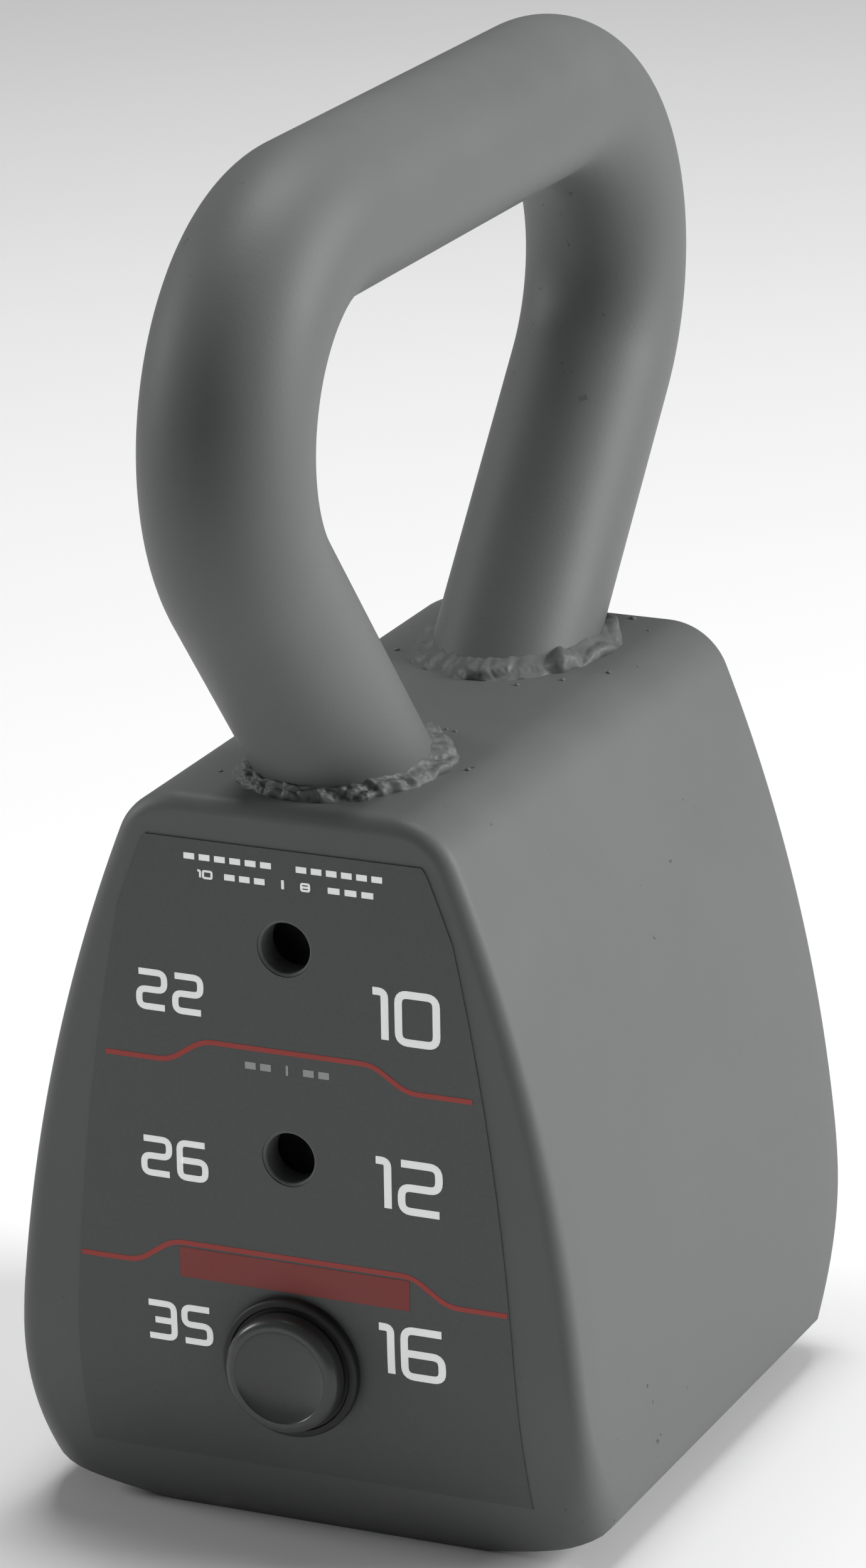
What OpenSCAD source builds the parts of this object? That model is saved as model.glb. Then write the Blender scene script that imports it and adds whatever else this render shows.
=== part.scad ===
// Adjustable kettlebell: a bent-bar handle welded to a hollow steel body, with three
// stacked weights inside and a selector pin. Origin at the middle of the underside,
// +Z up, the numbered front face towards -Y, the handle in the YZ plane.

/* [Body] */
// Height of the body, without the handle
body_h = 163; // [150:1:180]
// Width of the body at its widest, just above the foot
body_w = 130; // [120:1:145]
// Depth of the body, front face to rear face
body_d = 151; // [140:1:165]
// Thickness of the body's plates
wall = 6; // [4:0.5:7]
// Radius of the convex side faces
side_r = 373; // [350:1:400]
// Height at which the sides are widest
side_z = 13.5; // [10:0.5:20]
// Radius of the two shoulders
shoulder_r = 14.5; // [11:0.5:18]
// Radius at which the front and rear faces roll under
roll_r = 98; // [85:1:120]
// Height at which the roll starts
roll_z = 51; // [40:1:60]

/* [Dished underside] */
// Half width of the flat under the body
flat_half = 28; // [27:1:32]
// Radius of the arcs that rise from the flat to the side plates
dish_r = 80; // [70:1:110]
// Radius of the rounded lower edges of the side plates
corner_r = 6; // [4:0.5:12]

/* [Handle] */
// Diameter of the handle bar
bar_d = 35; // [28:0.5:38]
// Radius of the two bends, at the middle of the bar
bend_r = 40; // [37, 38, 40, 42, 44, 45]
// Length of the straight grip
grip_l = 114; // [90:1:120]
// Lean of the two legs from the vertical, in degrees
leg_lean = 40.8; // [40.3, 40.4, 40.5, 40.8, 40.9]
// Height over the top of the grip
total_h = 297; // [280:1:315]
// Width of the weld bead around each leg
weld_w = 4.5; // [3:0.5:5]
// Height of the weld bead
weld_h = 4.5; // [3:0.5:6]

/* [Selector] */
// Height of the lowest hole
hole_z = 42; // [40:0.5:44]
// Distance from one hole to the next
hole_pitch = 45.5; // [44:0.5:47]
// Diameter of the selector holes
hole_d = 10.8; // [10.4:0.1:12]
// Diameter of the pin's shaft
pin_d = 10; // [8:0.1:10]
// Reach of the pin past the middle of the body
pin_reach = 63; // [60:1:66]
// Diameter of the knob
knob_d = 25.4; // [20:0.1:28]
// Height of the knob over its skirt
knob_h = 4.8; // [4:0.1:12]
// Diameter of the skirt behind the knob
skirt_d = 30.4; // [28:0.1:34]
// Thickness of the skirt
skirt_h = 2.4; // [2.2:0.1:4]

/* [Weights] */
// Width of the weight blocks
block_w = 57; // [50:1:58]
// Depth of the weight blocks
block_d = 105; // [98:1:106]
// Height of the bottom weight's wide foot
foot_top = 31; // [26:1:32]
// Thickness of the rubber pad under the bottom weight
base_pad_h = 3; // [2:0.5:4]
// Thickness of the pads between the weights
pad_h = 1; // [0.5:0.5:1.5]
// Thickness of the rubber pad under the top wall
bumper_h = 3; // [2:0.5:4]

/* [Guides] */
// Thickness of the guide channels
guide_t = 2.5; // [2:0.5:3]
// Gap between the guides and the stack
guide_gap = 0.8; // [0.5:0.1:1]
// Reach of the guide's lips along the blocks
lip_l = 11; // [8:1:14]

/* [Label] */
// Thickness of the front label
label_t = 0.3; // [0.2:0.1:0.5]
// Least margin between the label and the edges of the front face
label_margin = 6; // [6:0.5:11]
// Width of the label at its widest
label_w = 100.5; // [90:0.5:106]
// Radius of the label's side edges
label_side_r = 600; // [500:10:900]
// Height of the label's lower edge
label_z0 = 15; // [12:1:20]
// Height of the label's upper edge
label_z1 = 154; // [148:1:156]

/* [Hidden] */
$fn = 96;
eps = 0.01;
reach = 200;

half_w = body_w / 2;
half_d = body_d / 2;
bar_r = bar_d / 2;

// Shoulder arcs: tangent to the side arcs and to the top
side_cx = half_w - side_r;
shoulder_z = body_h - shoulder_r;
shoulder_x = side_cx + sqrt(pow(side_r - shoulder_r, 2) - pow(shoulder_z - side_z, 2));
shoulder_a = atan2(shoulder_z - side_z, shoulder_x - side_cx);

// Lower corner arcs: tangent to the side arcs and to the dish arcs, which start
// tangent to the floor
side_c = [side_cx, side_z];
dish_c = [flat_half, dish_r];
between = dish_c - side_c;
along = between / norm(between);
reach_s = side_r - corner_r;
reach_d = dish_r - corner_r;
foot_s = (pow(reach_s, 2) - pow(reach_d, 2) + pow(norm(between), 2)) / (2 * norm(between));
corner_c = side_c + along * foot_s
    + [along[1], -along[0]] * sqrt(pow(reach_s, 2) - pow(foot_s, 2));
to_side = (corner_c - side_c) / reach_s;
to_dish = (corner_c - dish_c) / reach_d;

// Handle
grip_z = total_h - bar_r;
bend_a = 90 + leg_lean;
bend_end_y = grip_l / 2 + bend_r * sin(bend_a);
bend_end_z = grip_z - bend_r * (1 - cos(bend_a));
foot_y = bend_end_y - (bend_end_z - body_h) * tan(leg_lean);
leg_l = (bend_end_z - body_h) / cos(leg_lean) + bar_d;
core_d = bar_d - 8;
core_l = 12;

// Weight stack, from the floor up
gap_z = [hole_z + hole_pitch / 2, hole_z + 1.5 * hole_pitch];
stack_top = body_h - wall - bumper_h;
column_chamfer = 1.5;
foot_gap = 0.8;
foot_half_d = 53;
bore_d = pin_d + 1;

// Guides
guide_z0 = foot_top + 2;
guide_z1 = 146;
guide_half_w = block_w / 2 + guide_gap + guide_t;
web_y = block_d / 2 + guide_gap;
stand_x = 20;

// The label stays clear of the rounded mouths of the holes
label_hole_d = hole_d + 1.4;

// Pin: the skirt stands just clear of the label
pin_seat = half_d + label_t + 0.2;
tip_l = 4;
tip_d = 6;
spigot_d = 6;
spigot_l = 2.6;
magnet_d = 23;
magnet_hole = 14;
magnet_t = 1.6;
rim_round = 2.6;
dish_depth = 1.4;
dish_d = knob_d - 2 * rim_round - 1.2;

coat = [0.36, 0.37, 0.37];
bare = [0.55, 0.56, 0.58];
black = [0.08, 0.08, 0.09];

// Stands an outline drawn in front view up, and runs it from front to rear
module along_y(l = reach) rotate([90, 0, 0]) linear_extrude(height = 2 * l, center = true) children();

// Stands an outline drawn in side view up, and runs it from left to right
module along_x(l = reach) rotate([90, 0, 90]) linear_extrude(height = 2 * l, center = true) children();

// Front view of the body, drawn in by inset. Its foot runs on down to z = -20.
module front_outline(inset = 0) {
    split_z = side_z + (side_r - inset) * sin(shoulder_a);
    intersection() {
        translate([side_cx, side_z]) circle(r = side_r - inset, $fn = 720);
        translate([-side_cx, side_z]) circle(r = side_r - inset, $fn = 720);
        translate([-reach, -20]) square([2 * reach, split_z + 20]);
    }
    intersection() {
        union() {
            for (s = [-1, 1]) translate([s * shoulder_x, shoulder_z]) circle(r = shoulder_r - inset);
            translate([-shoulder_x, shoulder_z]) square([2 * shoulder_x, shoulder_r - inset]);
        }
        translate([-reach, split_z - eps]) square([2 * reach, shoulder_r]);
    }
}

// What the dished underside and its rounded corners take off the front view. Each corner's
// scrap starts a hair past the tangent points, because a sliver of no width can't be cut.
module dish_scrap() {
    far = 3 * corner_r;
    lead = 0.04;
    translate([-reach, -30]) square([2 * reach, 30]);
    for (s = [0, 1]) mirror([s, 0]) {
        difference() {
            translate([flat_half, -1]) square([half_w, corner_c[1] + 1]);
            translate(dish_c) circle(r = dish_r, $fn = 360);
        }
        difference() {
            polygon([corner_c, corner_c + (to_side + to_dish * lead) * far,
                corner_c + (to_side + to_dish) * far, corner_c + (to_dish + to_side * lead) * far]);
            translate(corner_c) circle(r = corner_r);
        }
    }
}

// Side view of the body, drawn in by inset
module side_outline(inset = 0) {
    translate([-half_d + inset, roll_z]) square([body_d - 2 * inset, reach]);
    intersection() {
        for_both_rolls(inset);
        translate([-reach, -30]) square([2 * reach, roll_z + 30 + eps]);
    }
}
module for_both_rolls(inset) intersection() {
    translate([half_d - roll_r, roll_z]) circle(r = roll_r - inset, $fn = 360);
    translate([roll_r - half_d, roll_z]) circle(r = roll_r - inset, $fn = 360);
}

// One selector bore, drilled along Y
module bore(d, z, y0, y1) translate([0, y1, z]) rotate([90, 0, 0]) cylinder(d = d, h = y1 - y0);
module selector_bores(d, y0, y1) for (i = [0:2]) bore(d, hole_z + i * hole_pitch, y0, y1);

module side_wrap() color(coat) intersection() {
    along_y() difference() {
        front_outline();
        front_outline(wall);
        dish_scrap();
    }
    along_x() side_outline();
}

module end_plate() intersection() {
    along_y() difference() {
        front_outline(wall);
        dish_scrap();
    }
    along_x() difference() {
        side_outline();
        side_outline(wall);
        translate([0, -30]) square([reach, 2 * reach]);
    }
}

module front_plate() color(coat) difference() {
    end_plate();
    selector_bores(hole_d, -half_d - 1, -half_d + 2 * wall);
}

module rear_plate() color(coat) mirror([0, 1, 0]) end_plate();

// One leg's straight part, with its axis leaning back to the bend
module leg(d, l, z0) translate([0, bend_end_y, bend_end_z]) rotate([180 - leg_lean, 0, 0])
    translate([0, 0, z0]) cylinder(d = d, h = l);

// The straight parts meet the bend face to face, and a core inside the bar joins each pair
module handle_half() {
    translate([0, grip_l / 2 - core_l / 2, grip_z]) rotate([-90, 0, 0]) cylinder(d = core_d, h = core_l);
    leg(core_d, core_l, -core_l / 2);
    translate([0, -eps, grip_z]) rotate([-90, 0, 0]) cylinder(d = bar_d, h = grip_l / 2 + eps);
    translate([0, grip_l / 2, grip_z - bend_r]) rotate([90, 0, 90]) rotate([0, 0, -leg_lean])
        rotate_extrude(angle = bend_a) translate([bend_r, 0]) circle(d = bar_d, $fn = 64);
    difference() {
        leg(bar_d, leg_l, 0);
        translate([-reach, -reach, body_h - reach]) cube([2 * reach, 2 * reach, reach]);
    }
}

module handle() color(coat) {
    handle_half();
    mirror([0, 1, 0]) handle_half();
}

module leg_weld() intersection() {
    difference() {
        leg(bar_d + 2 * weld_w, leg_l + bar_d, 0);
        leg(bar_d, leg_l + 2 * bar_d, -bar_d);
    }
    translate([-reach, 0, body_h]) cube([2 * reach, half_d - 0.5, weld_h]);
}
module front_handle_weld() color(coat) mirror([0, 1, 0]) leg_weld();
module rear_handle_weld() color(coat) leg_weld();

// Film on the front face, carried round the start of the roll
module front_label() color([0.2, 0.21, 0.21]) difference() {
    intersection() {
        along_y() intersection() {
            front_outline(label_margin);
            intersection_for(s = [-1, 1]) translate([s * (label_side_r - label_w / 2), side_z])
                circle(r = label_side_r, $fn = 720);
            translate([-half_w, label_z0]) square([body_w, label_z1 - label_z0]);
        }
        along_x() difference() {
            side_outline(-label_t);
            side_outline();
            translate([0, -30]) square([reach, 2 * reach]);
        }
    }
    selector_bores(label_hole_d, -half_d - 2, 0);
}

// Channel welded inside an end plate: a web across the stack, two lips along its
// sides, and two standing legs back to the plate
module guide() intersection() {
    translate([0, 0, guide_z0]) linear_extrude(height = guide_z1 - guide_z0) {
        translate([-guide_half_w, -web_y - guide_t]) square([2 * guide_half_w, guide_t]);
        for (s = [-1, 1]) {
            translate([s * (guide_half_w - guide_t / 2) - guide_t / 2, -web_y - eps]) square([guide_t, lip_l]);
            translate([s * stand_x - guide_t / 2, -half_d]) square([guide_t, half_d - web_y - guide_t + eps]);
        }
    }
    along_x() side_outline(wall);
}
module front_guide() color(bare) difference() {
    guide();
    selector_bores(bore_d, -half_d, -web_y + 1);
}
module rear_guide() color(bare) difference() {
    mirror([0, 1, 0]) guide();
    selector_bores(bore_d, web_y - 1, half_d);
}

// Rectangular block standing on z0, with its upright edges chamfered
module block(z0, z1) translate([0, 0, z0]) linear_extrude(height = z1 - z0) polygon([
    for (s = [[1, 1], [-1, 1], [-1, -1], [1, -1]], k = [0, 1])
        let (first = (s[0] * s[1] > 0) ? k : 1 - k)
        [s[0] * (block_w / 2 - (first == 1 ? column_chamfer : 0)),
         s[1] * (block_d / 2 - (first == 0 ? column_chamfer : 0))]]);

module drilled_block(z0, z1, z) difference() {
    block(z0, z1);
    bore(bore_d, z, -block_d / 2 - 1, block_d / 2 + 1);
}

module top_weight() color(bare)
    drilled_block(gap_z[1] + pad_h / 2, stack_top, hole_z + 2 * hole_pitch);
module middle_weight() color(bare)
    drilled_block(gap_z[0] + pad_h / 2, gap_z[1] - pad_h / 2, hole_z + hole_pitch);

module bottom_weight() color(bare) difference() {
    union() {
        block(base_pad_h, gap_z[0] - pad_h / 2);
        intersection() {
            along_y(foot_half_d) difference() {
                front_outline(wall + foot_gap);
                translate([0, base_pad_h]) dish_scrap();
                translate([-half_w, foot_top]) square([body_w, reach]);
            }
            along_x() side_outline(wall + foot_gap);
        }
    }
    bore(bore_d, hole_z, -block_d / 2 - 1, block_d / 2 + 1);
}

module pad(z0, z1, in) translate([-block_w / 2 + in, -block_d / 2 + in, z0])
    cube([block_w - 2 * in, block_d - 2 * in, z1 - z0]);
module top_weight_pad() color(black) pad(gap_z[1] - pad_h / 2, gap_z[1] + pad_h / 2, 4);
module middle_weight_pad() color(black) pad(gap_z[0] - pad_h / 2, gap_z[0] + pad_h / 2, 4);
module base_pad() color(black) pad(0, base_pad_h, 2);
module top_bumper() color(black) pad(stack_top, stack_top + bumper_h, 6);

// Places a piece that is turned about the pin's axis, drawn from the seat outwards
module on_pin() translate([0, -pin_seat, hole_z]) rotate([90, 0, 0]) children();

module pin_shaft() color([0.7, 0.7, 0.72]) on_pin() {
    shaft_l = pin_seat + pin_reach - tip_l;
    translate([0, 0, -shaft_l]) cylinder(d = pin_d, h = shaft_l + skirt_h);
    translate([0, 0, -shaft_l - tip_l]) cylinder(d1 = tip_d, d2 = pin_d, h = tip_l + eps);
    cylinder(d = spigot_d, h = skirt_h + spigot_l);
}

module knob_skirt() color(black) on_pin() difference() {
    rotate_extrude() polygon([[0, 0], [skirt_d / 2, 0], [skirt_d / 2, skirt_h - 0.8],
        [skirt_d / 2 - 0.8, skirt_h], [0, skirt_h]]);
    translate([0, 0, -1]) cylinder(d = pin_d, h = skirt_h + 2);
    translate([0, 0, -1]) cylinder(d = magnet_d, h = magnet_t + 1);
}

module pin_magnet() color([0.45, 0.45, 0.47]) on_pin() difference() {
    cylinder(d = magnet_d, h = magnet_t);
    translate([0, 0, -1]) cylinder(d = magnet_hole, h = magnet_t + 2);
}

module pin_knob() color(black) on_pin() difference() {
    translate([0, 0, skirt_h]) rotate_extrude() difference() {
        intersection() {
            union() {
                square([knob_d / 2 - rim_round, knob_h]);
                square([knob_d / 2, knob_h - rim_round]);
                translate([knob_d / 2 - rim_round, knob_h - rim_round]) circle(r = rim_round, $fn = 48);
            }
            square([knob_d, knob_h]);
        }
        polygon([[0, knob_h - dish_depth], [dish_d / 2 - 1.5, knob_h - dish_depth],
            [dish_d / 2, knob_h + eps], [0, knob_h + eps]]);
        translate([-rim_round, -eps]) square([rim_round, knob_h + 1]);
    }
    translate([0, 0, skirt_h - 1]) cylinder(d = spigot_d, h = spigot_l + 1);
}

side_wrap();
front_plate();
rear_plate();
handle();
front_handle_weld();
rear_handle_weld();
front_label();
front_guide();
rear_guide();
top_bumper();
top_weight();
top_weight_pad();
middle_weight();
middle_weight_pad();
bottom_weight();
base_pad();
pin_shaft();
knob_skirt();
pin_magnet();
pin_knob();
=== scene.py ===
import math
import random

import bmesh
import bpy
from mathutils import Matrix, Vector, noise


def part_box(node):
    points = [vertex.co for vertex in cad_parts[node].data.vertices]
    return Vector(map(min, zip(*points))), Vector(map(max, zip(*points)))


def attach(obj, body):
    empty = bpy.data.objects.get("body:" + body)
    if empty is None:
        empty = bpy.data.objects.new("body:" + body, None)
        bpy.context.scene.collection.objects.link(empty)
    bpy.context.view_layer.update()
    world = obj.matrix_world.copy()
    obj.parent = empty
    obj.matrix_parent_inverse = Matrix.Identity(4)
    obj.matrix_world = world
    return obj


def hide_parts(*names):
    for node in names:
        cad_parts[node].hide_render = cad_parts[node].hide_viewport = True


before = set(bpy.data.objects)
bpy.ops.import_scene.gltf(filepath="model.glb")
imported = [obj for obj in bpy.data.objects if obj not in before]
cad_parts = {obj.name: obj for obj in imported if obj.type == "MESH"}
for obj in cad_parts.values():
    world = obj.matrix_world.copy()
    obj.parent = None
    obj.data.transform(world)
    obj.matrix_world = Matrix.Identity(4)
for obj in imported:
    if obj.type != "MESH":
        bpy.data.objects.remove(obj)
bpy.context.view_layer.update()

MM = 0.001
BODY = "kettlebell"
PIN = "selector_pin"

# ---------------------------------------------------------------- sizes, in metres
wrap_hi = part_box("side_wrap")[1]
plate_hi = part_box("front_plate")[1]
handle_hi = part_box("handle")[1]
skirt_lo, skirt_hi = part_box("knob_skirt")
knob_lo, knob_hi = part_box("pin_knob")

HALF_W = wrap_hi.x
HALF_D = wrap_hi.y
BODY_H = wrap_hi.z
WALL = BODY_H - plate_hi.z
SIDE_R = 373 * MM          # convex side faces
SIDE_Z = 13.5 * MM         # height at which they are widest
SHOULDER_R = 14.5 * MM
ROLL_R = 98 * MM           # front and rear faces roll under
ROLL_Z = 51 * MM
FLAT_HALF = 28 * MM        # flat under the body
DISH_R = 80 * MM           # arcs that rise from the flat to the rounded lower corners
CORNER_R = 6 * MM
DISH_BLEND = 45 * MM       # height over which mesh rows follow the dished underside
EDGE_R = 3.4 * MM          # rounded edge between the front and side faces
FOOT_EDGE_R = 11 * MM      # the same edge down at the floor
FOOT_BLEND = 40 * MM       # height over which it grows

BAR_R = handle_hi.x
BEND_R = 40 * MM
GRIP_HALF = 57 * MM
LEG_LEAN = math.radians(40.8)

HOLE_Z = 42 * MM
HOLE_PITCH = 45.5 * MM
HOLE_R = 5.4 * MM

LABEL_T = 0.3 * MM
PRINT_T = 0.06 * MM        # thickness of the printed ink

# Shoulder arcs, tangent to the side arcs and to the top
SIDE_CX = HALF_W - SIDE_R
SHOULDER_Z = BODY_H - SHOULDER_R
SHOULDER_X = SIDE_CX + math.sqrt((SIDE_R - SHOULDER_R) ** 2 - (SHOULDER_Z - SIDE_Z) ** 2)
SHOULDER_A = math.atan2(SHOULDER_Z - SIDE_Z, SHOULDER_X - SIDE_CX)

# Lower corner arcs, tangent to the side arcs and to the dish arcs
SIDE_C = Vector((SIDE_CX, SIDE_Z))
DISH_C = Vector((FLAT_HALF, DISH_R))
between = DISH_C - SIDE_C
along = between.normalized()
foot_s = ((SIDE_R - CORNER_R) ** 2 - (DISH_R - CORNER_R) ** 2 + between.length ** 2) / (2 * between.length)
CORNER_C = (SIDE_C + along * foot_s
            + Vector((along.y, -along.x)) * math.sqrt((SIDE_R - CORNER_R) ** 2 - foot_s ** 2))
CORNER_X = CORNER_C.x + CORNER_R * (CORNER_C - DISH_C).normalized().x

# Handle
GRIP_Z = handle_hi.z - BAR_R
BEND_A = math.pi / 2 + LEG_LEAN
BEND_END = Vector((0, GRIP_HALF + BEND_R * math.sin(BEND_A), GRIP_Z - BEND_R * (1 - math.cos(BEND_A))))
FOOT_Y = BEND_END.y - (BEND_END.z - BODY_H) * math.tan(LEG_LEAN)


# ---------------------------------------------------------------- mesh helpers
def link(name, mesh):
    piece = bpy.data.objects.new(name, mesh)
    bpy.context.scene.collection.objects.link(piece)
    return piece


def mesh_piece(name, verts, faces, sharp_deg=40):
    mesh = bpy.data.meshes.new(name)
    mesh.from_pydata([tuple(v) for v in verts], [], faces)
    bm = bmesh.new()
    bm.from_mesh(mesh)
    bmesh.ops.remove_doubles(bm, verts=bm.verts, dist=1e-7)
    bmesh.ops.recalc_face_normals(bm, faces=bm.faces)
    bm.to_mesh(mesh)
    bm.free()
    piece = link(name, mesh)
    smooth(piece, sharp_deg)
    return piece


def smooth(piece, sharp_deg=40):
    piece.data.polygons.foreach_set("use_smooth", [True] * len(piece.data.polygons))
    piece.data.set_sharp_from_angle(angle=math.radians(sharp_deg))
    piece.data.update()


def apply_modifiers(piece):
    bpy.context.view_layer.update()
    graph = bpy.context.evaluated_depsgraph_get()
    mesh = bpy.data.meshes.new_from_object(piece.evaluated_get(graph))
    piece.modifiers.clear()
    piece.data = mesh


def bevel(piece, width, segments=3, angle_deg=35):
    mod = piece.modifiers.new("bevel", "BEVEL")
    mod.width = width
    mod.segments = segments
    mod.limit_method = "ANGLE"
    mod.angle_limit = math.radians(angle_deg)
    mod.use_clamp_overlap = True
    apply_modifiers(piece)


def cut(piece, cutter):
    mod = piece.modifiers.new("cut", "BOOLEAN")
    mod.operation = "DIFFERENCE"
    mod.solver = "EXACT"
    mod.object = cutter
    apply_modifiers(piece)
    bpy.data.objects.remove(cutter)


def lathe(profile, sides=96):
    """Verts and faces of a closed turned solid about Y. profile holds (radius, y), from axis to axis."""
    verts = []
    faces = []
    for radius, y in profile:
        for k in range(sides):
            a = 2 * math.pi * k / sides
            verts.append((radius * math.cos(a), y, radius * math.sin(a)))
    for ring in range(len(profile) - 1):
        for k in range(sides):
            n = (k + 1) % sides
            faces.append((ring * sides + k, ring * sides + n, (ring + 1) * sides + n, (ring + 1) * sides + k))
    last = (len(profile) - 1) * sides
    faces.append(tuple(range(sides)))
    faces.append(tuple(range(last, last + sides)))
    return verts, faces


def turned(name, profile, z, sides=96):
    verts, faces = lathe(profile, sides)
    return mesh_piece(name, [(x, y, v + z) for x, y, v in verts], faces)


def arc(cx, cy, radius, a0, a1, steps):
    return [(cx + radius * math.cos(math.radians(a0 + (a1 - a0) * k / steps)),
             cy + radius * math.sin(math.radians(a0 + (a1 - a0) * k / steps))) for k in range(steps + 1)]


# ---------------------------------------------------------------- body shape
def dish_z(x):
    """Height of the underside at a distance x from the middle."""
    x = abs(x)
    if x <= FLAT_HALF:
        return 0.0
    if x <= CORNER_X:
        return DISH_C.y - math.sqrt(DISH_R ** 2 - (x - DISH_C.x) ** 2)
    return CORNER_C.y - math.sqrt(max(0.0, CORNER_R ** 2 - (x - CORNER_C.x) ** 2))


def half_width(z, inset):
    """Half width between the side faces at height z, drawn in by inset."""
    return SIDE_CX + math.sqrt((SIDE_R - inset) ** 2 - (z - SIDE_Z) ** 2)


def depth(z, inset=0.0):
    """Half depth of the body at height z."""
    if z >= ROLL_Z:
        return HALF_D - inset
    return HALF_D - ROLL_R + math.sqrt((ROLL_R - inset) ** 2 - (ROLL_Z - z) ** 2)


ROWS_SIDE = 56
ROWS_SHOULDER = 14
COLS = 52
EDGE_STEPS = 7             # across the rounded edge between two faces
RUN_STEPS = 16             # along a side face, front to rear
RIM_STOPS = (0.09, 0.22, 0.38, 0.57, 0.78)   # loops across the underside's rim, outer to inner


def outline_point(row, inset):
    """Right-hand outline point of a row, drawn in by inset."""
    if row <= ROWS_SIDE:
        start = math.asin(-SIDE_Z / (SIDE_R - inset))
        a = start + (SHOULDER_A - start) * row / ROWS_SIDE
        return SIDE_CX + (SIDE_R - inset) * math.cos(a), SIDE_Z + (SIDE_R - inset) * math.sin(a)
    a = SHOULDER_A + (math.pi / 2 - SHOULDER_A) * (row - ROWS_SIDE) / ROWS_SHOULDER
    return SHOULDER_X + (SHOULDER_R - inset) * math.cos(a), SHOULDER_Z + (SHOULDER_R - inset) * math.sin(a)


def edge_radius(row):
    """Radius of the edge between the front and side faces, which grows towards the foot."""
    low = max(0.0, 1 - max(0.0, outline_point(row, 0.0)[1]) / FOOT_BLEND)
    return EDGE_R + (FOOT_EDGE_R - EDGE_R) * low ** 2


def grid_point(row, col, inset):
    """Point of the front view's grid. Columns crowd towards the sides, and the lowest rows
    are bent to follow the dished underside."""
    even = -1 + 2 * col / COLS
    across = even + 0.75 * (math.sin(math.pi / 2 * even) - even)
    x, z = outline_point(row, inset)
    if z < DISH_BLEND:
        lift = dish_z(across * half_width(CORNER_C.y, inset))
        z += lift * (1 - z / DISH_BLEND)
        x = half_width(max(z, CORNER_C.y), inset)
    return across * x, z


def body_shell():
    """The wrap and the two end plates as one welded, coated shell, open underneath."""
    rows = ROWS_SIDE + ROWS_SHOULDER
    verts = []
    faces = []

    def add(x, y, z):
        verts.append((x, y, z))
        return len(verts) - 1

    def face_grid(side, wall):
        insets = [wall or edge_radius(r) for r in range(rows + 1)]
        return [[add(x, side * depth(z, wall), z)
                 for x, z in (grid_point(r, c, inset) for c in range(COLS + 1))]
                for r, inset in enumerate(insets)]

    def quads(line, other):
        faces.extend((line[k], line[k + 1], other[k + 1], other[k]) for k in range(len(line) - 1))

    border = [(r, 0) for r in range(rows + 1)] + [(rows, c) for c in range(1, COLS)]
    border += [(r, COLS) for r in range(rows, -1, -1)]
    steps = [("front", k) for k in range(1, EDGE_STEPS + 1)] + [("middle", k) for k in range(1, RUN_STEPS)]
    steps += [("rear", k) for k in range(EDGE_STEPS, 0, -1)]

    def wrap_lines(front, rear, inner):
        """Lines of vertices from the front face's border to the rear face's border."""
        lines = []
        for r, c in border:
            line = [front[r][c]]
            edge = edge_radius(r)
            for part, k in steps:
                turn = math.pi / 2 * (1 - k / EDGE_STEPS)
                inset = 0.0 if part == "middle" else edge * (1 - math.cos(turn))
                x, z = grid_point(r, c, WALL if inner else inset)
                flat = depth(z) - edge
                y = flat * (1 - 2 * k / RUN_STEPS) if part == "middle" else flat + edge * math.sin(turn)
                if inner:
                    y *= depth(z, WALL) / depth(z)
                line.append(add(x, y if part == "rear" else -y, z))
            line.append(rear[r][c])
            lines.append(line)
        for line, other in zip(lines, lines[1:]):
            quads(line, other)
        return lines

    def rim(out, inn):
        """The underside's rim between an outer and an inner line of vertices."""
        last = out
        for stop in RIM_STOPS:
            line = []
            for a, b in zip(out, inn):
                x, y = (verts[a][i] + (verts[b][i] - verts[a][i]) * stop for i in (0, 1))
                line.append(add(x, y, dish_z(x)))
            quads(last, line)
            last = line
        quads(last, inn)

    outer = [face_grid(side, 0.0) for side in (-1, 1)]
    inner = [face_grid(side, WALL) for side in (-1, 1)]
    for grid in outer + inner:
        for line, other in zip(grid, grid[1:]):
            quads(line, other)
    outer_lines = wrap_lines(outer[0], outer[1], False)
    inner_lines = wrap_lines(inner[0], inner[1], True)
    rim(outer_lines[0], inner_lines[0])
    rim(outer_lines[-1], inner_lines[-1])
    rim(outer[0][0], inner[0][0])
    rim(outer[1][0], inner[1][0])
    piece = mesh_piece("body_shell", verts, faces)

    lip = 0.6 * MM
    profile = [(HOLE_R + lip, -HALF_D - WALL)]
    profile += arc(HOLE_R + lip, -HALF_D + lip, lip, -90, -180, 6)
    profile += [(HOLE_R, -HALF_D + 3 * WALL)]
    for i in range(3):
        cut(piece, turned("cutter", profile, HOLE_Z + i * HOLE_PITCH, 64))
    bevel(piece, 0.45 * MM, 2, 50)
    smooth(piece, 30)
    return piece


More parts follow.
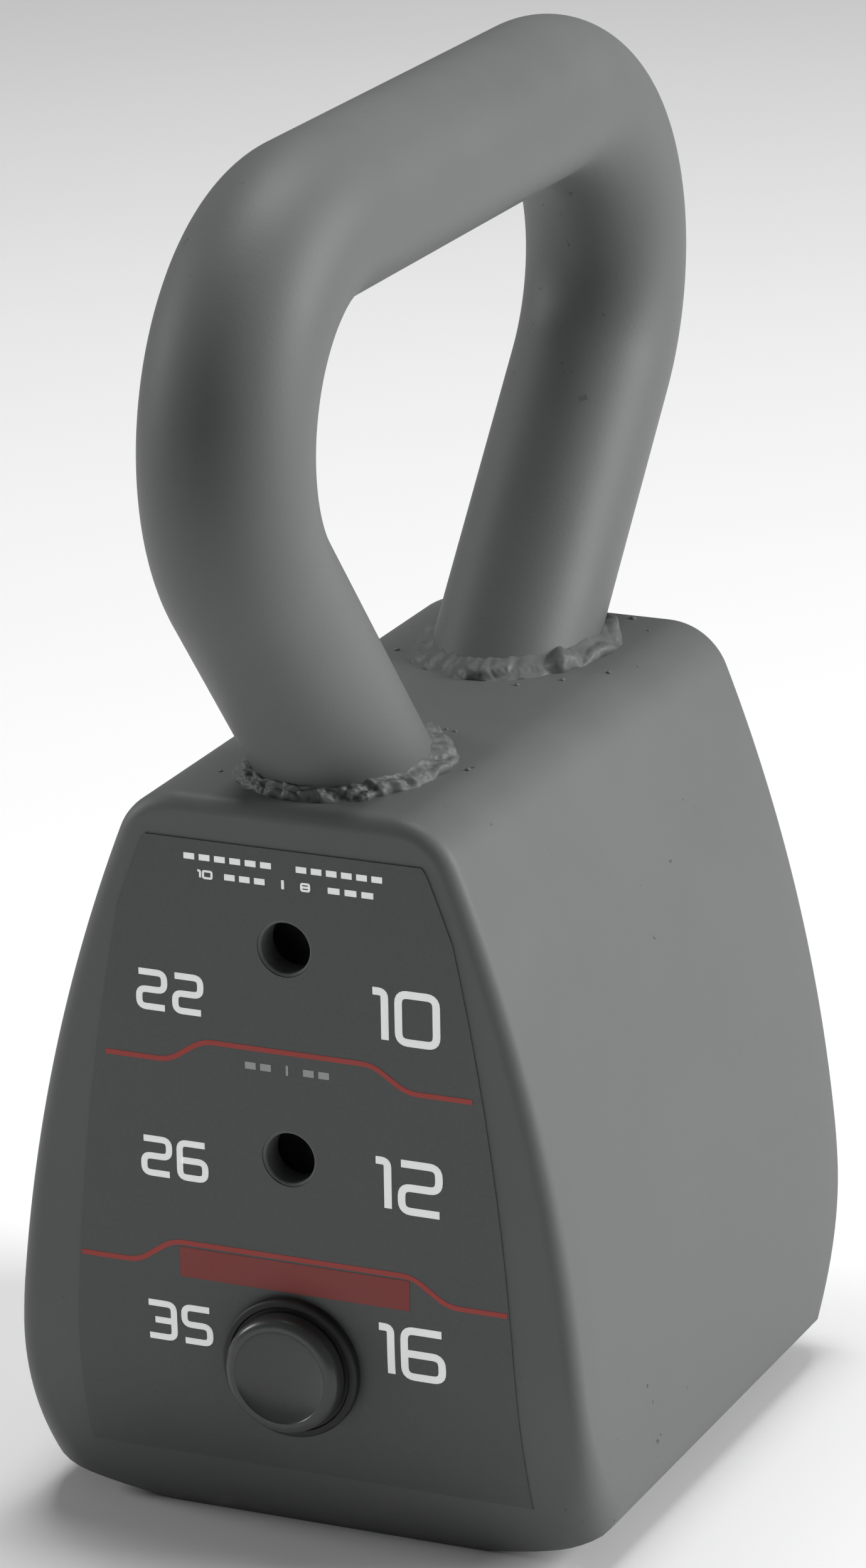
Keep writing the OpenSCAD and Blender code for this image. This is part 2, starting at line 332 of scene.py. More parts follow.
# ---------------------------------------------------------------- handle and welds
def handle_path():
    """Points and tangents along the bar's axis, from the front foot to the rear foot."""
    grip_steps = 24
    bend_steps = 60
    leg_steps = 30
    extra = 2 * BAR_R
    down = Vector((0, -math.sin(LEG_LEAN), -math.cos(LEG_LEAN)))
    leg = (BEND_END.z - BODY_H) / math.cos(LEG_LEAN) + extra
    rear = []
    for k in range(1, grip_steps + 1):
        rear.append((Vector((0, GRIP_HALF * k / grip_steps, GRIP_Z)), Vector((0, 1, 0))))
    for k in range(1, bend_steps + 1):
        a = BEND_A * k / bend_steps
        rear.append((Vector((0, GRIP_HALF + BEND_R * math.sin(a), GRIP_Z - BEND_R * (1 - math.cos(a)))),
                     Vector((0, math.cos(a), -math.sin(a)))))
    for k in range(1, leg_steps + 1):
        rear.append((BEND_END + down * leg * k / leg_steps, down))
    front = [(Vector((0, -p.y, p.z)), Vector((0, t.y, -t.z))) for p, t in reversed(rear)]
    return front + [(Vector((0, 0, GRIP_Z)), Vector((0, 1, 0)))] + rear


def handle_bar():
    sides = 96
    verts = []
    faces = []
    path = handle_path()
    for centre, tangent in path:
        across = Vector((1, 0, 0))
        up = across.cross(tangent)
        for k in range(sides):
            a = 2 * math.pi * k / sides
            verts.append(centre + (across * math.cos(a) + up * math.sin(a)) * BAR_R)
    for ring in range(len(path) - 1):
        for k in range(sides):
            n = (k + 1) % sides
            faces.append((ring * sides + k, ring * sides + n, (ring + 1) * sides + n, (ring + 1) * sides + k))
    piece = mesh_piece("handle_bar", verts, faces)
    sunk = 1.5 * MM
    bm = bmesh.new()
    bm.from_mesh(piece.data)
    geom = bm.verts[:] + bm.edges[:] + bm.faces[:]
    bmesh.ops.bisect_plane(bm, geom=geom, plane_co=(0, 0, BODY_H - sunk), plane_no=(0, 0, -1),
                           clear_outer=True)
    bmesh.ops.holes_fill(bm, edges=[e for e in bm.edges if e.is_boundary], sides=0)
    bmesh.ops.recalc_face_normals(bm, faces=bm.faces)
    bm.to_mesh(piece.data)
    bm.free()
    smooth(piece)
    return piece


def weld_bead(name, side, seed, drop_count, drop_size, ripple_depth):
    """A hand-laid bead around one leg: overlapping drops of unequal size on an uneven ridge,
    with a few grains of spatter on the plate beside it."""
    around = 480
    across = 18
    dice = random.Random(seed)
    foot = Vector((0, side * FOOT_Y, BODY_H))
    up_leg = Vector((0, side * math.sin(LEG_LEAN), math.cos(LEG_LEAN)))
    half_x = BAR_R
    half_y = BAR_R / math.cos(LEG_LEAN)
    length = math.pi * (half_x + half_y)
    slope = 6.5 * MM                      # across the bead, from the leg to the plate
    sunk = 0.8 * MM
    grains = 9
    drops = [(dice.random() * length, dice.uniform(0.15, 0.95) * slope,
              drop_size * dice.uniform(0.55, 1.35), dice.uniform(0.3, 0.6)) for _ in range(drop_count)]

    def ring_base(a):
        return foot + Vector((half_x * math.cos(a), half_y * math.sin(a), 0))

    def ring_out(a):
        return Vector((math.cos(a) / half_x, math.sin(a) / half_y, 0)).normalized()

    def room(a):
        """Distance from the leg to the start of the front or rear edge's rounding."""
        reach = HALF_D - EDGE_R - 0.4 * MM - abs(ring_base(a).y)
        if ring_out(a).y * side > 0:
            return reach / max(abs(ring_out(a).y), 0.05)
        return 1.0

    def swelling(run, down):
        """Height of the drops at a distance run around the bead and down its slope."""
        height = 0.0
        for drop_run, drop_down, radius, tall in drops:
            apart = abs(run - drop_run)
            apart = min(apart, length - apart)
            near = 1 - (apart ** 2 + (down - drop_down) ** 2) / radius ** 2
            if near > 0:
                height = max(height, tall * radius * near)
        return height

    verts = []
    faces = []
    for k in range(around):
        a = 2 * math.pi * k / around
        spot = Vector((math.cos(a), math.sin(a), 0))
        base = ring_base(a)
        out = ring_out(a)
        lump = noise.noise(spot * 2.1 + Vector((0, 0, seed)))
        rough = noise.noise(spot * 8.0 + Vector((0, 0, seed + 5)))
        width = min((4.0 + 1.9 * lump + 0.9 * rough) * MM, room(a))
        height = (3.1 - 1.2 * lump + 0.9 * rough) * MM
        top = base + up_leg * height / math.cos(LEG_LEAN)
        edge = base + out * width
        corner = base + out * width * 0.5 + Vector((0, 0, height * 0.5))
        for j in range(across + 1):
            t = j / across
            p = top * (1 - t) ** 2 + corner * 2 * t * (1 - t) + edge * t * t
            ends = math.sin(math.pi * t) ** 0.6
            raised = swelling(length * k / around, t * slope)
            raised += 0.5 * MM * noise.noise(p / (3.2 * MM) + Vector((seed, 0, 0)))
            raised += ripple_depth * noise.noise(p / (0.9 * MM) + Vector((0, seed, 0)))
            p = p + (out * 0.7 + Vector((0, 0, 0.7))) * ends * raised
            if abs(p.y) > HALF_D - EDGE_R:
                p.y = side * (HALF_D - EDGE_R)
            verts.append(p)
        verts.append(edge - out * 0.5 * MM - Vector((0, 0, sunk)))
        verts.append(base - out * 1.2 * MM - Vector((0, 0, sunk)))
        verts.append(top - out * 1.0 * MM)
    ring = across + 4
    for k in range(around):
        n = (k + 1) % around
        for j in range(ring):
            m = (j + 1) % ring
            faces.append((k * ring + j, n * ring + j, n * ring + m, k * ring + m))
    for _ in range(grains):
        a = dice.uniform(0, 2 * math.pi)
        radius = dice.uniform(0.35, 0.85) * MM
        away = dice.uniform(6.0, 11.0) * MM
        if away < room(a):
            grain_verts, grain_faces = grain(ring_base(a) + ring_out(a) * away, radius)
            faces += [tuple(len(verts) + i for i in face) for face in grain_faces]
            verts += grain_verts
    return mesh_piece(name, verts, faces, 75)


def grain(centre, radius, sides=14, rings=7):
    """A small flattened ball, half sunk."""
    flat = 0.7
    verts = [centre + Vector((0, 0, flat * radius))]
    for j in range(1, rings):
        v = math.pi * j / rings
        for k in range(sides):
            a = 2 * math.pi * k / sides
            verts.append(centre + radius * Vector((math.sin(v) * math.cos(a), math.sin(v) * math.sin(a),
                                                   flat * math.cos(v))))
    verts.append(centre - Vector((0, 0, flat * radius)))
    last = len(verts) - 1
    faces = []
    for k in range(sides):
        n = (k + 1) % sides
        faces.append((0, 1 + k, 1 + n))
        faces.append((last, last - sides + n, last - sides + k))
        for j in range(rings - 2):
            low = 1 + j * sides
            faces.append((low + k, low + sides + k, low + sides + n, low + n))
    return verts, faces


# ---------------------------------------------------------------- softened CAD pieces
def softened(node, name, width, segments=2, angle_deg=35):
    """A copy of a CAD node with its edges broken, which stands for the node."""
    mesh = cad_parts[node].data.copy()
    piece = link(name, mesh)
    bm = bmesh.new()
    bm.from_mesh(mesh)
    bmesh.ops.remove_doubles(bm, verts=bm.verts, dist=1e-6)
    bmesh.ops.dissolve_limit(bm, angle_limit=math.radians(0.5), verts=bm.verts, edges=bm.edges)
    bmesh.ops.recalc_face_normals(bm, faces=bm.faces)
    bm.to_mesh(mesh)
    bm.free()
    mesh.materials.clear()
    bevel(piece, width, segments, angle_deg)
    smooth(piece, 30)
    return piece


# ---------------------------------------------------------------- pin
def knob():
    """Round moulded knob: a rounded rim around a dished face."""
    back = skirt_lo.y
    front = knob_lo.y
    radius = knob_hi.x
    rim = 2.0 * MM
    dish = 1.9 * MM
    dish_r = radius - rim - 0.5 * MM
    middle = 0.05 * MM
    profile = [(middle, back), (radius - 0.5 * MM, back), (radius, back - 0.5 * MM)]
    profile += arc(radius - rim, front + rim, rim, 0, -90, 14)
    profile += [(dish_r * math.cos(math.radians(a)), front + dish * math.sin(math.radians(a)) ** 1.5)
                for a in range(0, 90, 6)]
    profile += [(middle, front + dish)]
    return turned("pin_knob_moulded", profile, HOLE_Z)


def skirt():
    """Dark cup behind the knob, with a rounded edge, a groove and the magnet's seat."""
    back = skirt_hi.y
    front = skirt_lo.y
    radius = skirt_hi.x
    seat_r = 11.5 * MM
    seat = 1.6 * MM
    shaft_r = 5.0 * MM
    edge = 0.8 * MM
    profile = [(shaft_r, back - seat), (seat_r, back - seat), (seat_r, back), (radius - 0.3 * MM, back)]
    profile += [(radius, back - 0.3 * MM)]
    profile += arc(radius - edge, front + edge, edge, 0, -90, 6)
    profile += [(radius - 1.5 * MM, front), (radius - 1.8 * MM, front + 0.3 * MM)]
    profile += [(shaft_r, front + 0.3 * MM)]
    sides = 96
    verts, faces = lathe(profile, sides)
    faces = faces[:-2]
    last = (len(profile) - 1) * sides
    faces += [(k, (k + 1) % sides, last + (k + 1) % sides, last + k) for k in range(sides)]
    return mesh_piece("knob_skirt_cup", [(x, y, v + HOLE_Z) for x, y, v in verts], faces)


# ---------------------------------------------------------------- print on the label
def ink_y(z, lift):
    return -(depth(z) + LABEL_T + lift)


def round_path(points, radius, steps=5):
    """A polyline with its inner corners rounded. Points are (x, z)."""
    out = [Vector(points[0])]
    for a, b, c in zip(points, points[1:], points[2:]):
        a, b, c = Vector(a), Vector(b), Vector(c)
        r = min(radius, (a - b).length / 2, (c - b).length / 2)
        p = b + (a - b).normalized() * r
        q = b + (c - b).normalized() * r
        for k in range(steps + 1):
            t = k / steps
            out.append(p * (1 - t) ** 2 + b * 2 * t * (1 - t) + q * t * t)
    out.append(Vector(points[-1]))
    return out


def ribbon(points, width, closed=False):
    """Flat strip along a path, as (verts, faces), cut short enough to follow the face."""
    pts = []
    step = 1.5 * MM
    for a, b in zip(points, points[1:]):
        n = max(1, math.ceil((b - a).length / step))
        pts += [a + (b - a) * k / n for k in range(n)]
    if not closed:
        pts.append(points[-1])
    count = len(pts)
    left = []
    right = []
    for k, p in enumerate(pts):
        before = pts[k - 1] if k or closed else p
        after = pts[(k + 1) % count] if k < count - 1 or closed else p
        along = (after - before).normalized()
        normal = Vector((-along.y, along.x))
        left.append(p + normal * width / 2)
        right.append(p - normal * width / 2)
    flat = left + right
    verts = [(v.x, ink_y(v.y, PRINT_T), v.y) for v in flat] + [(v.x, ink_y(v.y, 0), v.y) for v in flat]
    faces = []
    low = 2 * count
    for k in range(count if closed else count - 1):
        n = (k + 1) % count
        faces += [(k, n, count + n, count + k), (low + k, low + count + k, low + count + n, low + n),
                  (k, low + k, low + n, n), (count + k, count + n, low + count + n, low + count + k)]
    if not closed:
        for k in (0, count - 1):
            faces.append((k, count + k, low + count + k, low + k))
    return verts, faces


def join_parts(name, parts):
    verts = []
    faces = []
    for part_verts, part_faces in parts:
        start = len(verts)
        verts += part_verts
        faces += [tuple(start + i for i in face) for face in part_faces]
    return mesh_piece(name, verts, faces)


# Strokes of each digit on a unit box, as (closed, points)
DIGITS = {
    "0": [(True, [(0, 0.5), (0, 1), (1, 1), (1, 0), (0, 0), (0, 0.5)])],
    "1": [(False, [(0, 1), (1, 1), (1, 0)])],
    "2": [(False, [(0, 1), (1, 1), (1, 0.5), (0, 0.5), (0, 0), (1, 0)])],
    "3": [(False, [(0, 1), (1, 1), (1, 0), (0, 0)]), (False, [(0.25, 0.5), (0.92, 0.5)])],
    "5": [(False, [(1, 1), (0, 1), (0, 0.5), (1, 0.5), (1, 0), (0, 0)])],
    "6": [(False, [(1, 1), (0, 1), (0, 0), (1, 0), (1, 0.5), (0.08, 0.5)])],
    "8": [(True, [(0, 0.5), (0, 1), (1, 1), (1, 0), (0, 0), (0, 0.5)]), (False, [(0.08, 0.5), (0.92, 0.5)])],
}


def number_parts(text, x, z, width, height, stroke):
    """Strokes of a number centred on (x, z), width by height over the ink."""
    narrow = {"1": 0.31}
    gap = 0.115 * height
    units = [narrow.get(ch, 1.0) for ch in text]
    inner_w = width - stroke
    inner_h = height - stroke
    cell = (inner_w - (stroke + gap) * (len(text) - 1)) / sum(units)
    left = x - inner_w / 2
    parts = []
    for ch, unit in zip(text, units):
        for closed, points in DIGITS[ch]:
            path = [(left + px * cell * unit, z - inner_h / 2 + pz * inner_h) for px, pz in points]
            parts.append(ribbon(round_path(path, 0.17 * height), stroke, closed))
        left += cell * unit + stroke + gap
    return parts


def bar_part(x0, x1, z, thick):
    return ribbon([Vector((x0, z)), Vector((x1, z))], thick)


def block_row(x0, x1, z, count, tall):
    """Plain blocks in a row, between x0 and x1."""
    pitch = (x1 - x0) / (count - 0.3)
    return [bar_part(x0 + pitch * k, x0 + pitch * (k + 0.7), z, tall) for k in range(count)]


def stepped_line(half_out, half_low, half_high, z_low, z_high):
    """A thin line across the face that steps up over its middle."""
    points = [(-half_out, z_low), (-half_low, z_low), (-half_high, z_high),
              (half_high, z_high), (half_low, z_low), (half_out, z_low)]
    return ribbon(round_path([(x * MM, z * MM) for x, z in points], 2.5 * MM), 1.1 * MM)


# ---------------------------------------------------------------- materials
def new_material(name):
    mat = bpy.data.materials.new(name)
    mat.use_nodes = True
    nodes = mat.node_tree.nodes
    return mat, nodes, mat.node_tree.links, nodes["Principled BSDF"]


def add_noise(nodes, links, coords, scale, detail=4.0, rough=0.55):
    node = nodes.new("ShaderNodeTexNoise")
    node.inputs["Scale"].default_value = scale
    node.inputs["Detail"].default_value = detail
    node.inputs["Roughness"].default_value = rough
    links.new(coords.outputs["Object"], node.inputs["Vector"])
    return node.outputs["Fac"]


def add_ramp(nodes, links, source, stops):
    node = nodes.new("ShaderNodeValToRGB")
    while len(node.color_ramp.elements) < len(stops):
        node.color_ramp.elements.new(0.5)
    for element, (pos, colour) in zip(node.color_ramp.elements, stops):
        element.position = pos
        element.color = (*colour, 1) if not isinstance(colour, float) else (colour, colour, colour, 1)
    links.new(source, node.inputs["Fac"])
    return node.outputs["Color"]


def add_mix(nodes, links, factor, a, b):
    node = nodes.new("ShaderNodeMix")
    node.data_type = "RGBA"
    links.new(factor, node.inputs["Factor"])
    for value, slot in ((a, node.inputs[6]), (b, node.inputs[7])):
        if isinstance(value, tuple):
            slot.default_value = (*value, 1)
        else:
            links.new(value, slot)
    return node.outputs[2]


def add_bumps(nodes, links, bsdf, layers):
    """Chained bumps. layers holds (height output, strength, distance in metres)."""
    last = None
    for height, strength, distance in layers:
        node = nodes.new("ShaderNodeBump")
        node.inputs["Strength"].default_value = strength
        node.inputs["Distance"].default_value = distance
        links.new(height, node.inputs["Height"])
        if last:
            links.new(last, node.inputs["Normal"])
        last = node.outputs["Normal"]
    links.new(last, bsdf.inputs["Normal"])


def surface(name, dark, light, rough, grain_scale, bump, metallic=0.0, wear=None, patch=24.0, spec=0.5):
    """Two-tone finish with a fine grain. wear is (colour, how much of the convex edges it takes)."""
    mat, nodes, links, bsdf = new_material(name)
    coords = nodes.new("ShaderNodeTexCoord")
    cloud = add_noise(nodes, links, coords, patch, 5.0, 0.6)
    fine = add_noise(nodes, links, coords, grain_scale, 3.0, 0.6)
    colour = add_ramp(nodes, links, cloud, [(0.32, dark), (0.68, light)])
    speck = add_ramp(nodes, links, fine, [(0.30, 0.80), (0.70, 1.0)])
    product = nodes.new("ShaderNodeMix")
    product.data_type = "RGBA"
    product.blend_type = "MULTIPLY"
    product.inputs["Factor"].default_value = 0.55
    links.new(colour, product.inputs[6])
    links.new(speck, product.inputs[7])
    colour = product.outputs[2]
    if wear:
        shape = nodes.new("ShaderNodeNewGeometry")
        chip = add_noise(nodes, links, coords, 420.0, 6.0, 0.7)
        total = nodes.new("ShaderNodeMath")
        total.operation = "MULTIPLY"
        edge = add_ramp(nodes, links, shape.outputs["Pointiness"], [(0.53, 0.0), (0.60, 1.0)])
        spots = add_ramp(nodes, links, chip, [(0.60 - 0.12 * wear[1], 0.0), (0.66 - 0.12 * wear[1], 1.0)])
        links.new(edge, total.inputs[0])
        links.new(spots, total.inputs[1])
        colour = add_mix(nodes, links, total.outputs[0], colour, wear[0])
    links.new(colour, bsdf.inputs["Base Color"])
    links.new(add_ramp(nodes, links, cloud, [(0.3, rough[0]), (0.7, rough[1])]), bsdf.inputs["Roughness"])
    bsdf.inputs["Metallic"].default_value = metallic
    bsdf.inputs["Specular IOR Level"].default_value = spec
    add_bumps(nodes, links, bsdf, [(cloud, 0.12, 1.2 * MM), (fine, bump, 0.12 * MM)])
    return mat


def powder_coat(name, pitted):
    """Matte grey powder coat: soft mottling, a fine orange peel, rubbed edges and small dark pits."""
    mat, nodes, links, bsdf = new_material(name)
    coords = nodes.new("ShaderNodeTexCoord")
    mottle = add_noise(nodes, links, coords, 16.0, 4.0, 0.55)
    peel = add_noise(nodes, links, coords, 1150.0, 2.0, 0.5)
    grit = add_noise(nodes, links, coords, 3200.0, 2.0, 0.5)
    colour = add_ramp(nodes, links, mottle, [(0.28, (0.107, 0.111, 0.110)), (0.72, (0.125, 0.129, 0.127))])
    shape = nodes.new("ShaderNodeNewGeometry")
    edge = add_ramp(nodes, links, shape.outputs["Pointiness"], [(0.525, 0.0), (0.60, 1.0)])
    rub = add_noise(nodes, links, coords, 130.0, 6.0, 0.7)
    rub = add_ramp(nodes, links, rub, [(0.54, 0.0), (0.70, 1.0)])
    worn = nodes.new("ShaderNodeMath")
    worn.operation = "MULTIPLY"
    links.new(edge, worn.inputs[0])
    links.new(rub, worn.inputs[1])
    colour = add_mix(nodes, links, worn.outputs[0], colour, (0.17, 0.17, 0.168))
    pits = add_noise(nodes, links, coords, 330.0, 3.0, 0.6)
    field = add_noise(nodes, links, coords, 21.0, 2.0, 0.5)
    pit_mask = add_ramp(nodes, links, pits, [(0.70 - pitted, 0.0), (0.735 - pitted, 1.0)])
    pit_field = add_ramp(nodes, links, field, [(0.56, 0.0), (0.66, 1.0)])
    pit = nodes.new("ShaderNodeMath")
    pit.operation = "MULTIPLY"
    links.new(pit_mask, pit.inputs[0])
    links.new(pit_field, pit.inputs[1])
    colour = add_mix(nodes, links, pit.outputs[0], colour, (0.032, 0.033, 0.032))
    links.new(colour, bsdf.inputs["Base Color"])
    links.new(add_ramp(nodes, links, mottle, [(0.3, 0.50), (0.7, 0.62)]), bsdf.inputs["Roughness"])
    bsdf.inputs["Specular IOR Level"].default_value = 0.42
    add_bumps(nodes, links, bsdf,
              [(mottle, 0.10, 2.0 * MM), (peel, 0.22, 0.12 * MM), (grit, 0.12, 0.05 * MM)])
    return mat


def ink(name, colour, worn_colour, painted_glow=0.0):
    """Screen print: slightly uneven, with pinholes where it has rubbed. It glows faintly: a painted glow that
    lifts the ink brighter than the lamps light it.
    """
    mat, nodes, links, bsdf = new_material(name)
    coords = nodes.new("ShaderNodeTexCoord")
    cloud = add_noise(nodes, links, coords, 90.0, 4.0, 0.6)
    rub = add_noise(nodes, links, coords, 900.0, 4.0, 0.7)
    tone = add_ramp(nodes, links, cloud, [(0.3, tuple(0.94 * c for c in colour)), (0.7, colour)])
    holes = add_ramp(nodes, links, rub, [(0.70, 0.0), (0.78, 1.0)])
    links.new(add_mix(nodes, links, holes, tone, worn_colour), bsdf.inputs["Base Color"])
    links.new(add_ramp(nodes, links, cloud, [(0.3, 0.42), (0.7, 0.58)]), bsdf.inputs["Roughness"])
    # Painted light: the emission makes the ink glow brighter than the shade on the front face lets it look
    bsdf.inputs["Emission Color"].default_value = (*colour, 1)
    bsdf.inputs["Emission Strength"].default_value = painted_glow
    add_bumps(nodes, links, bsdf, [(rub, 0.15, 0.05 * MM)])
    return mat


def dress(piece, mat):
    piece.data.materials.clear()
    piece.data.materials.append(mat)


coat = powder_coat("coat_body", 0.0)
coat_bar = powder_coat("coat_handle", 0.02)
coat_weld = powder_coat("coat_weld", 0.07)
# The film's grey is set a little below the coat's, which paints in part of the shade on the front face
film = surface("label_film", (0.092, 0.097, 0.097), (0.104, 0.110, 0.109), (0.50, 0.60), 1500.0, 0.14,
               spec=0.4)
black_oxide = surface("black_oxide", (0.05, 0.05, 0.052), (0.10, 0.10, 0.10), (0.38, 0.6), 800.0, 0.3,
                      0.4, ((0.36, 0.35, 0.34), 0.6))
bare_steel = surface("bare_steel", (0.38, 0.38, 0.39), (0.52, 0.52, 0.53), (0.32, 0.5), 1400.0, 0.25, 0.9,
                     patch=60.0)
pin_steel = surface("pin_steel", (0.55, 0.55, 0.56), (0.66, 0.66, 0.67), (0.2, 0.34), 1800.0, 0.18, 1.0,
                    patch=80.0)
magnet_plate = surface("magnet_plate", (0.4, 0.4, 0.42), (0.5, 0.5, 0.52), (0.25, 0.4), 1500.0, 0.15, 1.0)
knob_plastic = surface("knob_plastic", (0.048, 0.050, 0.050), (0.060, 0.062, 0.062), (0.26, 0.34),
                       2300.0, 0.08)
skirt_plastic = surface("skirt_plastic", (0.008, 0.008, 0.009), (0.013, 0.013, 0.014), (0.5, 0.62),
                        2300.0, 0.16)
rubber = surface("rubber_pad", (0.018, 0.018, 0.018), (0.034, 0.033, 0.032), (0.75, 0.9), 1200.0, 0.4)
# The white ink glows at strength 0.20, which is painted light
ink_white = ink("ink_white", (0.93, 0.94, 0.94), (0.62, 0.63, 0.63), 0.20)
ink_grey = ink("ink_grey", (0.42, 0.43, 0.43), (0.18, 0.18, 0.18))
ink_red = ink("ink_red", (0.40, 0.045, 0.035), (0.14, 0.04, 0.035))
ink_band = ink("ink_band", (0.26, 0.038, 0.032), (0.12, 0.035, 0.03))


# ---------------------------------------------------------------- make the pieces
def place(piece, body, mat, slot, *nodes):
    dress(piece, mat)
    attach(piece, body)
    if nodes:
        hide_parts(*nodes)


place(body_shell(), BODY, coat, "coat", "side_wrap", "front_plate", "rear_plate")
place(handle_bar(), BODY, coat_bar, "coat", "handle")
front_bead = weld_bead("front_weld_bead", -1, 3, 90, 2.3 * MM, 0.35 * MM)
rear_bead = weld_bead("rear_weld_bead", 1, 11, 26, 3.4 * MM, 0.15 * MM)
place(front_bead, BODY, coat_weld, "coat", "front_handle_weld")
place(rear_bead, BODY, coat_weld, "coat", "rear_handle_weld")

for node in ("top_weight", "middle_weight", "bottom_weight"):
    place(softened(node, node + "_block", 0.8 * MM), BODY, black_oxide, "weight_steel", node)
for node in ("front_guide", "rear_guide"):
    place(softened(node, node + "_channel", 0.5 * MM), BODY, bare_steel, "bare_steel", node)
for node in ("base_pad", "top_bumper"):
    place(softened(node, node + "_slab", 0.7 * MM, 3), BODY, rubber, "rubber", node)
for node in ("top_weight_pad", "middle_weight_pad"):
    place(softened(node, node + "_sheet", 0.3 * MM), BODY, rubber, "rubber", node)

place(knob(), PIN, knob_plastic, "knob_plastic", "pin_knob")
place(skirt(), PIN, skirt_plastic, "knob_plastic", "knob_skirt")
place(softened("pin_shaft", "pin_shaft_rod", 0.4 * MM, 2, 25), PIN, pin_steel, "pin_steel", "pin_shaft")
place(softened("pin_magnet", "pin_magnet_ring", 0.2 * MM), PIN, magnet_plate, "magnet", "pin_magnet")
dress(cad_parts["front_label"], film)

# Numerals: pounds on the left, kilograms, a little taller, on the right
LEFT_X = -26 * MM
RIGHT_X = 26.4 * MM
NUMERAL_LIFT = 5.4 * MM    # the lowest pair's height over the lowest hole
NUMERAL_PITCH = 36.5 * MM
for level, (pounds, kilos) in enumerate((("35", "16"), ("26", "12"), ("22", "10"))):
    z = HOLE_Z + NUMERAL_LIFT + level * NUMERAL_PITCH
    parts = number_parts(pounds, LEFT_X, z, 15.3 * MM, 8.9 * MM, 1.4 * MM)
    place(join_parts("numeral_" + pounds, parts), BODY, ink_white, "label_film")
    parts = number_parts(kilos, RIGHT_X, z + 1.2 * MM, 15.6 * MM, 11.9 * MM, 1.65 * MM)
    place(join_parts("numeral_" + kilos, parts), BODY, ink_white, "label_film")

# Header: two rows of plain blocks, the lower one with the handle's own weight in numerals
HEAD_Z = 150.4 * MM
HEAD_DROP = 3.6 * MM
HEAD_TALL = 1.9 * MM
HEAD_BLOCK = 1.3 * MM
parts = block_row(-22 * MM, -2.5 * MM, HEAD_Z, 6, HEAD_BLOCK)
parts += block_row(3 * MM, 22 * MM, HEAD_Z, 6, HEAD_BLOCK)
parts += number_parts("10", -17.4 * MM, HEAD_Z - HEAD_DROP, 3.6 * MM, HEAD_TALL, 0.45 * MM)
parts += block_row(-13 * MM, -4 * MM, HEAD_Z - HEAD_DROP, 3, HEAD_BLOCK)
parts += [bar_part(-0.3 * MM, 0.3 * MM, HEAD_Z - HEAD_DROP, HEAD_TALL)]
parts += number_parts("8", 5 * MM, HEAD_Z - HEAD_DROP, 2.2 * MM, HEAD_TALL, 0.45 * MM)
parts += block_row(10 * MM, 20 * MM, HEAD_Z - HEAD_DROP, 3, HEAD_BLOCK)
place(join_parts("header_marks", parts), BODY, ink_white, "label_film")

# Grey unit marks under the upper line
UNIT_Z = 106.8 * MM
parts = block_row(-9.4 * MM, -3.6 * MM, UNIT_Z, 2, 1.5 * MM)
parts += block_row(3.6 * MM, 9.4 * MM, UNIT_Z, 2, 1.5 * MM)
parts += [bar_part(-0.25 * MM, 0.25 * MM, UNIT_Z, 2.2 * MM)]
place(join_parts("unit_marks", parts), BODY, ink_grey, "label_film")

upper_line = stepped_line(41, 26.6, 19, 105.6, 110.6)
lower_line = stepped_line(48, 35, 27, 60.2, 65.6)
band = bar_part(-25.4 * MM, 26.4 * MM, 61.3 * MM, 6.6 * MM)
place(join_parts("upper_red_line", [upper_line]), BODY, ink_red, "label_film")
place(join_parts("lower_red_line", [lower_line]), BODY, ink_red, "label_film")
place(join_parts("red_band", [band]), BODY, ink_band, "label_film")


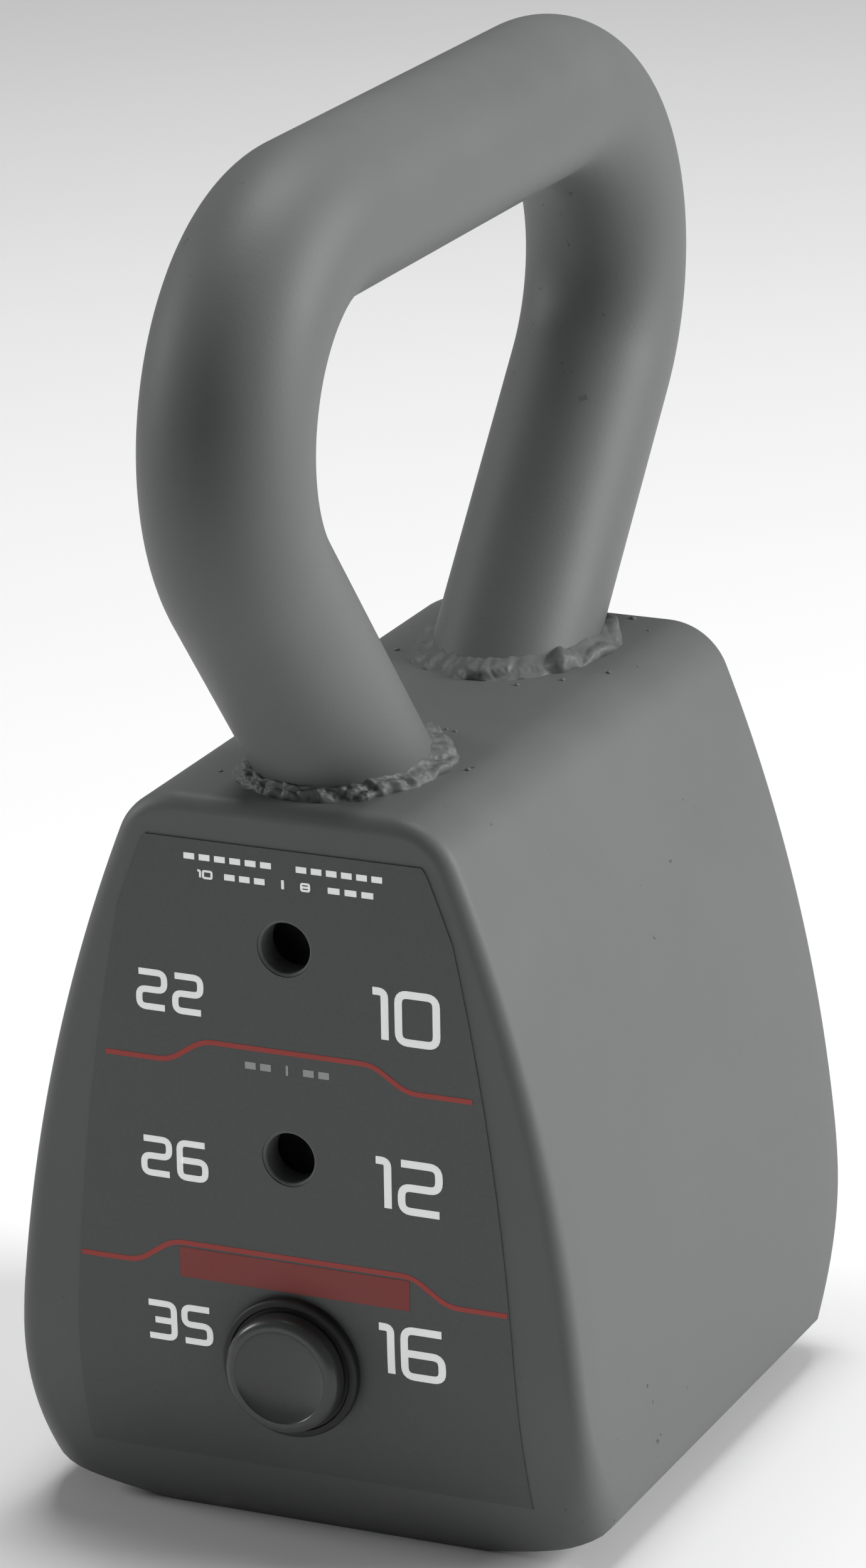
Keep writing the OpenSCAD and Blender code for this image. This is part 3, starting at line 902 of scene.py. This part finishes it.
# ---------------------------------------------------------------- stage, light and camera
def stage_floor():
    half = 7.0
    mesh = bpy.data.meshes.new("floor")
    corners = [(-half, -half, 0), (half, -half, 0), (half, half, 0), (-half, half, 0)]
    mesh.from_pydata(corners, [], [(0, 1, 2, 3)])
    piece = link("floor", mesh)
    mat, nodes, links, bsdf = new_material("floor_paper")
    coords = nodes.new("ShaderNodeTexCoord")
    cloud = add_noise(nodes, links, coords, 3.0, 3.0, 0.5)
    tone = add_ramp(nodes, links, cloud, [(0.3, (0.83, 0.83, 0.83)), (0.7, (0.85, 0.85, 0.85))])
    links.new(tone, bsdf.inputs["Base Color"])
    bsdf.inputs["Roughness"].default_value = 0.9
    bsdf.inputs["Specular IOR Level"].default_value = 0.2
    dress(piece, mat)


def soft_light(name, place_at, aim, size, power):
    data = bpy.data.lights.new(name, "AREA")
    data.shape = "RECTANGLE"
    data.size, data.size_y = size
    data.energy = power
    lamp = bpy.data.objects.new(name, data)
    bpy.context.scene.collection.objects.link(lamp)
    lamp.location = place_at
    lamp.rotation_euler = (Vector(aim) - Vector(place_at)).to_track_quat("-Z", "Y").to_euler()


def soft_world(level):
    world = bpy.data.worlds.new("studio")
    world.use_nodes = True
    world.node_tree.nodes["Background"].inputs["Color"].default_value = (1.0, 1.0, 1.0, 1)
    world.node_tree.nodes["Background"].inputs["Strength"].default_value = level
    bpy.context.scene.world = world


def camera():
    """Long lens, turned 24 degrees to the right of the front and 19 degrees up."""
    azimuth, elevation, roll = (math.radians(v) for v in (23.98, 18.80, -0.92))
    distance = 1.476
    sensor = 36.0
    focal = 160.26
    back = Vector((math.sin(azimuth) * math.cos(elevation), -math.cos(azimuth) * math.cos(elevation),
                   math.sin(elevation)))
    right = Vector((math.cos(azimuth), math.sin(azimuth), 0))
    up = back.cross(right)
    tilted_right = right * math.cos(roll) + up * math.sin(roll)
    tilted_up = up * math.cos(roll) - right * math.sin(roll)
    data = bpy.data.cameras.new("camera")
    data.sensor_width = sensor
    data.lens = focal
    data.shift_x = -0.0014
    data.shift_y = 0.0423
    data.clip_end = 50
    eye = bpy.data.objects.new("camera", data)
    bpy.context.scene.collection.objects.link(eye)
    eye.matrix_world = Matrix((tilted_right, tilted_up, back)).transposed().to_4x4()
    eye.location = Vector((0, 0, 0.130)) + back * distance
    bpy.context.scene.camera = eye


stage_floor()
soft_world(0.11)
soft_light("key", (2.1, 0.8, 1.05), (0, 0, 0.14), (1.2, 1.2), 61)
soft_light("overhead", (-0.1, 0.35, 1.9), (0, 0.05, 0.2), (1.0, 0.6), 24)
soft_light("left_fill", (-1.5, -0.3, 0.65), (0, 0, 0.14), (0.4, 0.4), 8)
camera()
bpy.context.scene.view_settings.view_transform = "Standard"
